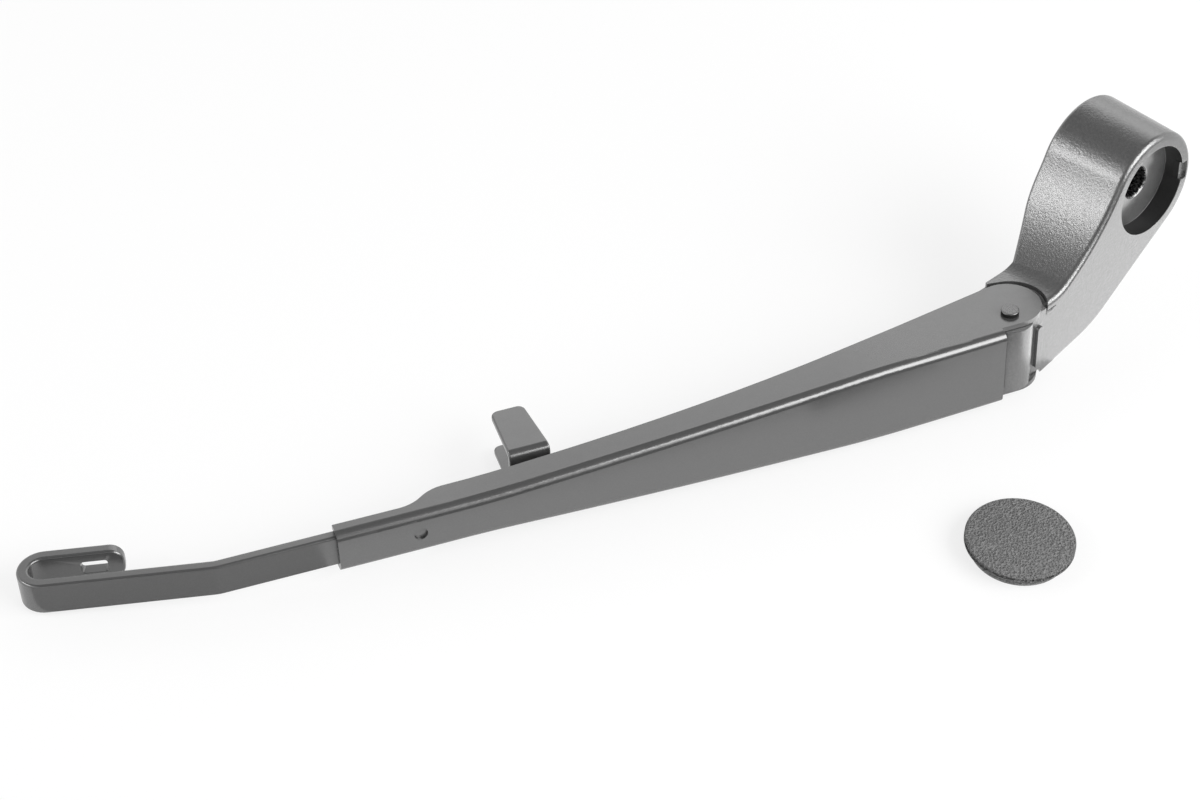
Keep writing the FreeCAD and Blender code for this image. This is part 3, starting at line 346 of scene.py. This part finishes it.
def combine(piece, tool, operation):
    """Adds the tool to the piece or cuts it away, and removes the tool."""
    to_active(piece)
    step = piece.modifiers.new("combine", "BOOLEAN")
    step.operation = operation
    step.solver = "EXACT"
    step.object = tool
    bpy.ops.object.modifier_apply(modifier=step.name)
    bpy.data.objects.remove(tool, do_unlink=True)


def select_points(piece, chosen):
    """Selects the points of the active piece whose place passes a test, and no others."""
    bpy.ops.object.mode_set(mode="EDIT")
    bpy.ops.mesh.select_all(action="DESELECT")
    bpy.ops.object.mode_set(mode="OBJECT")
    for point in piece.data.vertices:
        point.select = chosen(point.co)


def move_selected(shift):
    """Moves the selected points of the active piece."""
    bpy.ops.object.mode_set(mode="EDIT")
    bpy.ops.transform.translate(value=shift)
    bpy.ops.object.mode_set(mode="OBJECT")


def bisect(place, normal, **options):
    """Cuts the active piece with a plane."""
    bpy.ops.object.mode_set(mode="EDIT")
    bpy.ops.mesh.select_all(action="SELECT")
    bpy.ops.mesh.bisect(plane_co=place, plane_no=normal, **options)
    bpy.ops.object.mode_set(mode="OBJECT")


# %% Bar and bracket
for name, width in (("hook_bar", 0.16), ("guide_bracket", 0.12)):
    piece = copy_of(name)
    soften(piece, width)
    take_place(piece, name, "arm")

# %% [markdown]
# ## The pivot pin
#
# The pin's ends stand proud of the cheeks. Their sides are painted much darker than their faces,
# as painted shade for the dark crescent under each face.

# %% The pin with dark sides
PIN_LOWERED = 0.6
PIN_TOP = 12.3
PIN_ROUNDING = 0.15
SIDE_LEAN = 0.4
# Painted shade: the pin's sides get a near-black colour with little gloss.
pin_side_shade = Finish("pin_sides_painted_shade", Metallic=0.0, Specular_IOR_Level=0.1)
crumbs = pin_side_shade.noise(0.25, detail=3.0)
pin_side_shade.feed("Base Color", pin_side_shade.mix(crumbs, grey(0.004), grey(0.025)))
pin_side_shade.feed("Roughness", 0.5 + crumbs * 0.2)
pin_side_shade.bump(crumbs, 0.03)

pin = copy_of("pivot_pin")
pin.data.materials.append(pin_side_shade.material)
to_pivot = pivot_frame.inverted()
for side in (1, -1):
    select_points(pin, lambda place: side * (to_pivot @ place).z > PIN_TOP * MM)
    move_selected(pin_direction * (-side * PIN_LOWERED * MM))
# The side faces take the painted shade.
for face in pin.data.polygons:
    if abs(face.normal.dot(pin_direction)) < SIDE_LEAN:
        face.material_index = 1
soften(pin, PIN_ROUNDING)
take_place(pin, "pivot_pin", "arm")

# %% [markdown]
# ## The head's pocket, teeth and recess
#
# The cheek's round end lies in a pocket of the head, so that the head's shoulder is level with
# the sheet beside it. The pocket must be clear of the cheek at every lift, so it is cut with
# the cheek's own round end, a little larger, and with the circle that the end sweeps.

# %% Directions of the head
ROUND_SIDES = 96

head_turn = pivot_turn @ Matrix.Rotation(math.radians(HEAD_TURN), 3, "Z")
head_frame = Matrix.Translation(pivot_centre) @ head_turn.to_4x4()


def at_head(u, v, z):
    """The place of a point on the head: along its face, into its depth, along the pin."""
    return head_frame @ Vector((u * MM, v * MM, z * MM))


def block(u, v, z):
    """A box on the head between two values of each direction."""
    bpy.ops.object.select_all(action="DESELECT")
    middle = [(low + high) / 2 for low, high in (u, v, z)]
    bpy.ops.mesh.primitive_cube_add(size=1.0, location=at_head(*middle),
                                    rotation=head_turn.to_euler())
    made = bpy.context.object
    made.scale = [(high - low) * MM for low, high in (u, v, z)]
    bpy.ops.object.transform_apply(location=True, rotation=True, scale=True)
    return made


def rod(place, turn, radius, length, sides=ROUND_SIDES):
    """A round bar round a place, along the third direction of a turn."""
    bpy.ops.object.select_all(action="DESELECT")
    bpy.ops.mesh.primitive_cylinder_add(vertices=sides, radius=radius * MM, depth=length * MM,
                                        location=place, rotation=turn.to_euler())
    bpy.ops.object.transform_apply(location=True, rotation=True, scale=True)
    return bpy.context.object


# %% The shoulder beside the cheek
SHOULDER_TOP = 11.4
SHOULDER_FOOT = 8.8
SHOULDER_LEVEL_TO = 12.0
SHOULDER_NEAR = 4.0
SHOULDER_FAR = 19.5
SHOULDER_STATIONS = 6
SHOULDER_CURVE = 0.045
SHOULDER_ROUNDING = 1.7
SHOULDER_ROUNDING_STEPS = 6
FACE_DEPTH = 4.2
KNUCKLE_DEPTH = 13.35
CHEEK_ROUND = (1.6, 3.8)
POCKET_RADIUS = 9.6
POCKET_WIDENED = (2.7, 3.9)
WIDENED_RADIUS = 9.4
POCKET_END_ANGLE = 88
POCKET_MIDDLE = 10
POCKET_LENGTH = 30
SWEPT_LENGTH = 28
CLOSE = 0.01

head = copy_of("mounting_head")
shoulder = block((SHOULDER_NEAR, SHOULDER_FAR), (-FACE_DEPTH + CLOSE, KNUCKLE_DEPTH),
                 (SHOULDER_FOOT, SHOULDER_TOP))
from_head = head_frame.inverted()
station_step = (SHOULDER_FAR - SHOULDER_LEVEL_TO) / SHOULDER_STATIONS


def on_top_at(station):
    """A test for points on the shoulder's top, this many millimetres along the head."""
    def test(place):
        here = from_head @ place / MM
        return abs(here.x - station) < CLOSE and here.z > SHOULDER_FOOT + 0.5
    return test


for i in range(SHOULDER_STATIONS):
    bisect(at_head(SHOULDER_LEVEL_TO + i * station_step, 0, 0), head_turn @ Vector((1, 0, 0)))
for i in range(1, SHOULDER_STATIONS + 1):
    station = SHOULDER_LEVEL_TO + i * station_step
    select_points(shoulder, on_top_at(station))
    lift = SHOULDER_CURVE * (station - SHOULDER_LEVEL_TO) ** 2
    move_selected(pin_direction * lift * MM)
select_points(shoulder, lambda place: False)
for edge in shoulder.data.edges:
    ends = [from_head @ shoulder.data.vertices[i].co / MM for i in edge.vertices]
    edge.select = all(end.z > SHOULDER_TOP - 0.1 and end.y < 0 for end in ends)
bpy.ops.object.mode_set(mode="EDIT")
bpy.ops.mesh.bevel(offset=SHOULDER_ROUNDING * MM, segments=SHOULDER_ROUNDING_STEPS)
bpy.ops.object.mode_set(mode="OBJECT")
last_side = Matrix.Rotation(math.radians(POCKET_END_ANGLE), 3, "Z") @ Vector((0, 1, 0))
bisect(pivot_centre, pivot_turn @ last_side, use_fill=True, clear_outer=True)
for middle, radius in ((CHEEK_ROUND, POCKET_RADIUS), (POCKET_WIDENED, WIDENED_RADIUS)):
    place = at_pivot(*middle, POCKET_MIDDLE)
    combine(shoulder, rod(place, pivot_turn, radius, POCKET_LENGTH), "DIFFERENCE")
cheek_angle = math.atan2(CHEEK_ROUND[1], CHEEK_ROUND[0])
first_side = Matrix.Rotation(cheek_angle, 3, "Z") @ Vector((0, 1, 0))
swept_radius = math.hypot(*CHEEK_ROUND) + POCKET_RADIUS
swept = rod(at_pivot(0, 0, POCKET_MIDDLE), pivot_turn, swept_radius, SWEPT_LENGTH)
bisect(pivot_centre, pivot_turn @ first_side, use_fill=True, clear_inner=True)
combine(shoulder, swept, "DIFFERENCE")
combine(head, shoulder, "UNION")
print("head with shoulder:", len(head.data.polygons), "faces")

# %% The rib, the notch and the teeth of the bore
RIB_TOP = 5.35
RIB_ABOVE = 8.0
RIB_WIDTH = (4.3, 9.5)
RIB_LENGTH = (-8.8, 7.2)
SPINDLE = (51.9, 26.5)
NOTCH_FLOOR = 3.2
NOTCH_DEEP = 1.5
NOTCH_REACH = (12.6, 15.0)
NOTCH_HALF_WIDTH = 2.95
BORE_RADIUS = 4.2
TOOTH_COUNT = 30
TOOTH_SIZE = 0.42
TOOTH_START = 0.5
TOOTH_LENGTH = 20
RECESS_FLOOR = 1.35

combine(head, block(RIB_WIDTH, (-RIB_ABOVE, -RIB_TOP), RIB_LENGTH), "DIFFERENCE")
notch_filler = block([SPINDLE[0] + reach for reach in NOTCH_REACH], (-NOTCH_FLOOR, -NOTCH_DEEP),
                     (SPINDLE[1] - NOTCH_HALF_WIDTH, SPINDLE[1] + NOTCH_HALF_WIDTH))
combine(head, notch_filler, "UNION")
teeth = []
tooth_middle = RECESS_FLOOR + TOOTH_START + TOOTH_LENGTH / 2
for i in range(TOOTH_COUNT):
    around = 2 * math.pi * i / TOOTH_COUNT
    place = at_head(SPINDLE[0] + BORE_RADIUS * math.cos(around), tooth_middle,
                    SPINDLE[1] + BORE_RADIUS * math.sin(around))
    outward = Matrix.Rotation(-around, 3, "Y")
    turn = head_turn @ outward @ Matrix.Rotation(math.radians(-90), 3, "X")
    teeth.append(rod(place, turn, TOOTH_SIZE, TOOTH_LENGTH, sides=4))
bpy.ops.object.select_all(action="DESELECT")
for tooth in teeth:
    tooth.select_set(True)
bpy.context.view_layer.objects.active = teeth[0]
bpy.ops.object.join()
combine(head, teeth[0], "DIFFERENCE")

# %% Finishes of the recess, then the head takes its place
HEAD_ROUNDING = 0.16
WALL_SPAN = (12.4, 13.0)
RECESS_MOUTH = 3.9
FLOOR_RADIUS = 12.7
TEETH_RADIUS = 5.0

# Painted shade: the recess wall is coloured near black, as the deep recess gets little light.
recess_wall_shade = Finish("painted_shade_in_recess", Metallic=0.1)
wall_grain = recess_wall_shade.noise(0.5, detail=3.0)
recess_wall_shade.feed("Base Color", recess_wall_shade.mix(wall_grain, grey(0.012), grey(0.03)))
recess_wall_shade.feed("Roughness", 0.3 + wall_grain * 0.2)
recess_wall_shade.bump(wall_grain, 0.02)
head.data.materials.append(recess_wall_shade.material)

floor_enamel = Finish("smooth_enamel_in_recess", Metallic=0.7)
haze = floor_enamel.noise(3.0, detail=2.0)
floor_enamel.feed("Base Color", floor_enamel.mix(haze, grey(0.18), grey(0.26)))
floor_enamel.feed("Roughness", 0.16 + haze * 0.1)
floor_enamel.bump(haze, 0.01)
head.data.materials.append(floor_enamel.material)

tooth_steel = Finish("broached_teeth", Metallic=0.9)
chips = tooth_steel.noise(0.7, detail=3.0, roughness=0.7)
tooth_steel.feed("Base Color", tooth_steel.ramp(chips, [(0.45, 0.01), (0.62, 0.5)]))
tooth_steel.feed("Roughness", 0.2 + chips * 0.2)
tooth_steel.bump(chips, 0.15)
head.data.materials.append(tooth_steel.material)
soften(head, HEAD_ROUNDING)
recess_faces = 0
for face in head.data.polygons:
    middle = from_head @ face.center / MM
    away = math.hypot(middle.x - SPINDLE[0], middle.z - SPINDLE[1])
    on_wall = WALL_SPAN[0] < away < WALL_SPAN[1] and -RECESS_MOUTH < middle.y < RECESS_FLOOR - 0.2
    in_bore = away < TEETH_RADIUS and middle.y > RECESS_FLOOR + 0.3
    on_floor = away < FLOOR_RADIUS and RECESS_FLOOR - 0.1 < middle.y < RECESS_FLOOR + 0.1
    # Faces on the recess wall take that painted shade.
    if on_wall:
        face.material_index = 1
    if on_floor:
        face.material_index = 2
    if in_bore:
        face.material_index = 3
    recess_faces += on_wall or on_floor or in_bore
print("faces of the recess:", recess_faces)
take_place(head, "mounting_head", "head")

# %% [markdown]
# ## The cap's groove
#
# The side of the cap's rim has a dark groove between two light edges. A ring is cut out of the
# rim for it. The copy keeps the edges of the cap's own rim as they are.

# %% A groove round the cap's rim
GROOVE_LOW = 3.15
GROOVE_HIGH = 4.0
GROOVE_DEPTH = 0.5
RING_MARGIN = 2
CORE_LENGTH = 5

low_corner, high_corner = (Vector(corner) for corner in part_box("cover_cap"))
cap_middle = (low_corner + high_corner) / 2
cap_radius = (high_corner.x - low_corner.x) / 2 / MM
groove_height = low_corner.z + (GROOVE_LOW + GROOVE_HIGH) / 2 * MM
groove_at = Vector((cap_middle.x, cap_middle.y, groove_height))
upright = Matrix.Identity(3)
cap = copy_of("cover_cap")
ring = rod(groove_at, upright, cap_radius + RING_MARGIN, GROOVE_HIGH - GROOVE_LOW)
core = rod(groove_at, upright, cap_radius - GROOVE_DEPTH, CORE_LENGTH)
combine(ring, core, "DIFFERENCE")
combine(cap, ring, "DIFFERENCE")
smooth(cap)
print("cap radius", round(cap_radius, 2), "mm, groove from", GROOVE_LOW, "to", GROOVE_HIGH, "mm")
take_place(cap, "cover_cap", "head")

# %% [markdown]
# ## The table
#
# The arm lies on a white table. Most of the table's white is its own light for the camera
# and for mirror images in the enamel, and the rest is real shading, which keeps a faint shadow.

# %% A white table
TABLE_SIZE = 6.0
TABLE_GLOW = 0.75
bpy.ops.object.select_all(action="DESELECT")
bpy.ops.mesh.primitive_plane_add(size=TABLE_SIZE, location=(0, 0, 0))
table = bpy.context.object
table.name = "white_table"
table_top = Finish("white_table", Base_Color=grey(0.9), Roughness=0.9, Specular_IOR_Level=0.1)
to_camera = table_top.node("ShaderNodeLightPath", {}, {}, output="Is Camera Ray")
to_gloss = table_top.node("ShaderNodeLightPath", {}, {}, output="Is Glossy Ray")
to_clear = table_top.node("ShaderNodeLightPath", {}, {}, output="Is Transmission Ray")
glow = table_top.node("ShaderNodeEmission", {}, {"Color": grey(1.0), "Strength": 1.0})
shading = Amount(table_top, table_top.shader.outputs[0])
surface = table_top.node("ShaderNodeMixShader", {}, {
    0: (to_camera + to_gloss + to_clear) * TABLE_GLOW, 1: shading, 2: glow,
})
table_end = table_top.tree.nodes["Material Output"]
table_top.tree.links.new(surface.socket, table_end.inputs["Surface"])
table.data.materials.append(table_top.material)

# %% [markdown]
# ## The room
#
# Enamel shows what stands around it. White paper runs up behind the table, and above it the
# room is dark, so the upper surfaces get a light part and a dark part. Softboxes make the
# long highlight on the channel's fold and the bands on the head, and a small pad on the table
# lights the head's face from below. Black cards, seen in mirror images only, give those
# highlights their dark borders. A black card by the cap is a painted shadow in the web's
# mirror image, and a grey card darkens the bar's top a little.

# %% White paper all round, a dark ceiling above
PAPER_TOP = 0.56
CEILING_FROM = 0.80
CEILING_LEVEL = 0.18
world = bpy.data.worlds.new("paper_and_ceiling")
bpy.context.scene.world = world
world.use_nodes = True
room = Graph(world.node_tree)
direction = room.node("ShaderNodeTexCoord", {}, {}, output="Generated")
upward_share = room.node("ShaderNodeSeparateXYZ", {}, {0: direction}, output="Z")
paper = room.ramp(upward_share, [(PAPER_TOP, 1.0), (CEILING_FROM, CEILING_LEVEL)])
world.node_tree.links.new(paper.socket, world.node_tree.nodes["Background"].inputs["Color"])


# %% Softboxes
def from_centre(azimuth, elevation, distance):
    """A place seen from the arm: azimuth from X towards Y and elevation in degrees, metres."""
    a = math.radians(azimuth)
    e = math.radians(elevation)
    return Vector((math.cos(a) * math.cos(e), math.sin(a) * math.cos(e), math.sin(e))) * distance


def softbox(name, place, target, width, height, brightness):
    """A soft rectangular lamp that looks at a target. Brightness 1 is white paper."""
    data = bpy.data.lights.new(name, "AREA")
    data.shape = "RECTANGLE"
    data.size = width
    data.size_y = height
    data.energy = 4 * width * height * brightness
    lamp = bpy.data.objects.new(name, data)
    lamp.location = place
    lamp.rotation_euler = (Vector(target) - Vector(place)).to_track_quat("-Z", "Y").to_euler()
    lamp.visible_camera = False
    bpy.context.scene.collection.objects.link(lamp)
    print(name, [round(c, 2) for c in place], "brightness", brightness)


softbox("front_softbox", from_centre(-45, 34, 1.0), (0, 0, 0.02), 0.95, 0.66, 4.0)
softbox("left_softbox", from_centre(168, 31, 1.0), (0.12, 0.03, 0.03), 0.6, 0.24, 4.2)
softbox("back_softbox", from_centre(62, 30, 1.2), (0.05, 0, 0.02), 1.0, 0.42, 0.6)
softbox("light_pad", (0.166, 0.010, 0.002), (0.166, 0.010, 1.0), 0.10, 0.06, 1.0)


# %% Black and grey cards
def card(name, finish, place, target, width, height, spin=0):
    """A card that only mirror images see. It faces its target, and may be spun on itself."""
    bpy.ops.object.select_all(action="DESELECT")
    turn = (Vector(target) - Vector(place)).to_track_quat("Z", "Y").to_euler()
    turn.rotate_axis("Z", math.radians(spin))
    bpy.ops.mesh.primitive_plane_add(size=1.0, location=place, rotation=turn)
    made = bpy.context.object
    made.name = name
    made.scale = (width, height, 1.0)
    bpy.ops.object.transform_apply(location=True, rotation=True, scale=True)
    made.data.materials.append(finish.material)
    made.visible_camera = False
    made.visible_diffuse = False
    made.visible_shadow = False


card_black = Finish("black_card", Base_Color=grey(0.01), Roughness=1.0, Specular_IOR_Level=0.0)
card_grey = Finish("grey_card", Base_Color=grey(0.5), Roughness=1.0, Specular_IOR_Level=0.0)
for name, finish, (x, y, z), width, height, spin in (
        ("card_on_table", card_black, (-0.011, -0.397, 0.001), 0.9, 0.75, -4.8),
        # Painted shadow: the black card by the cap darkens the table beside the arm and cap in
        # the web's mirror image.
        ("card_by_cap", card_black, (0.068, -0.034, 0.0015), 0.042, 0.024, -8),
        ("card_at_bar", card_grey, (-0.1405, -0.009, 0.0015), 0.101, 0.052, 0)):
    card(name, finish, (x, y, z), (x, y, 1.0), width, height, spin)
card("card_in_front", card_black, from_centre(-80, 4, 1.1), (0, 0, 0.02), 1.6, 0.24)
card("card_left", card_black, from_centre(-118, 34, 1.1), (0, 0, 0.02), 1.0, 0.6)

# %% [markdown]
# ## The camera
#
# The photograph was taken from above and a little to the left, with a short telephoto lens.

# %% Camera at the photograph's viewing angle
CAMERA_FROM_PIVOT = (-286.29, -481.59, 433.97)
CAMERA_AZIMUTH = -19.597
CAMERA_ELEVATION = 39.001
CAMERA_ROLL = -2.733
LENS_MM = 79.49
SENSOR_MM = 36.0

camera_angles = (CAMERA_AZIMUTH, CAMERA_ELEVATION, CAMERA_ROLL)
azimuth, elevation, roll = (math.radians(angle) for angle in camera_angles)
camera_back = Vector((math.sin(azimuth) * math.cos(elevation),
                      -math.cos(azimuth) * math.cos(elevation), math.sin(elevation)))
level = Vector((math.cos(azimuth), math.sin(azimuth), 0))
upward = camera_back.cross(level)
camera_right = level * math.cos(roll) + upward * math.sin(roll)
camera_up = upward * math.cos(roll) - level * math.sin(roll)
camera_turn = pivot_turn @ Matrix((camera_right, camera_up, camera_back)).transposed()
camera_data = bpy.data.cameras.new("camera")
camera_data.lens = LENS_MM
camera_data.sensor_width = SENSOR_MM
camera_data.sensor_fit = "HORIZONTAL"
camera = bpy.data.objects.new("camera", camera_data)
camera.matrix_world = Matrix.Translation(at_pivot(*CAMERA_FROM_PIVOT)) @ camera_turn.to_4x4()
bpy.context.scene.collection.objects.link(camera)
bpy.context.scene.camera = camera
print("camera at", [round(c, 4) for c in camera.matrix_world.translation])

# %% Colours as written
bpy.context.scene.view_settings.view_transform = "Standard"
